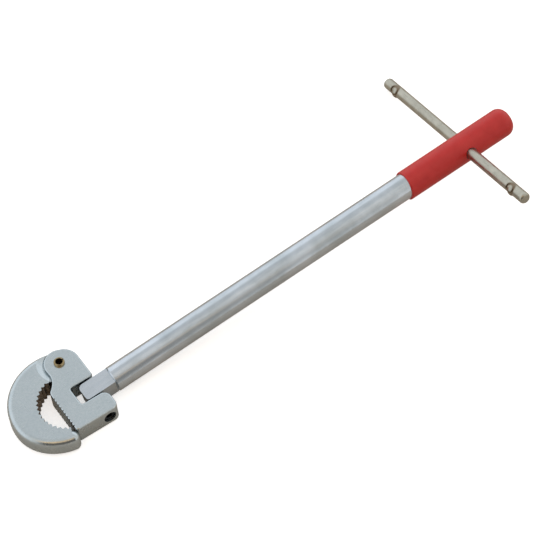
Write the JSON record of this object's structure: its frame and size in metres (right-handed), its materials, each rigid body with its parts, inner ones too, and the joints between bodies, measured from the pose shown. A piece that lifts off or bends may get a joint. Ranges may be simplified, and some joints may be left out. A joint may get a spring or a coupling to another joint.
{
  "type": "basin wrench",
  "caption": "Basin wrench with a T-shaped handle: sliding tommy bar through a red dipped grip, round plated shaft, swivelling forked head and a sprung, toothed hook jaw on a hollow pin",
  "frame": {"origin": "middle of the closed jaw's mouth, between the toothed hook and the serrated heel, at half the head's thickness", "axes": "+X from the hook towards the handle, +Z square to the head's flat faces and away from the table it lies on, +Y by the right-hand rule, towards the hook's hinge"},
  "size_m": [0.28, 0.1194, 0.0429],
  "materials": {
    "plated_bar": "satin",
    "red_vinyl": "semi-gloss",
    "plain_bar": "satin",
    "plated_forging": "satin",
    "hook_forging": "satin",
    "yellow_pin": "satin",
    "spring_wire": "satin",
    "black_screw": "matt"
  },
  "bodies": {
    "handle": {"shaft": "plated_bar", "grip": "red_vinyl"},
    "head": {"jaw_body": "plated_forging", "jaw_pin": "yellow_pin", "swivel_screw": "black_screw", "jaw_spring": "spring_wire"},
    "hook": {"hook_jaw": "hook_forging"},
    "tommy_bar": {"tommy_bar": "plain_bar"}
  },
  "joints": [
    {"name": "head_swivel", "type": "hinge", "parent": "handle", "child": "head", "pos_m": [0.022, 0, 0], "axis": [0, 1, 0], "range_deg": [-120, 109.8]},
    {"name": "hook_swing", "type": "hinge", "parent": "head", "child": "hook", "pos_m": [0.017, 0.0201, 0], "axis": [0, 0, -1], "range_deg": [0, 45], "stiffness_Nm_per_rad": 0.06, "springref_deg": -28.65, "deforming": ["jaw_spring"]},
    {"name": "tommy_slide", "type": "slide", "parent": "handle", "child": "tommy_bar", "axis": [-0.0269, -0.9528, 0.3023], "range_m": [-0.0343, 0.0513]}
  ]
}
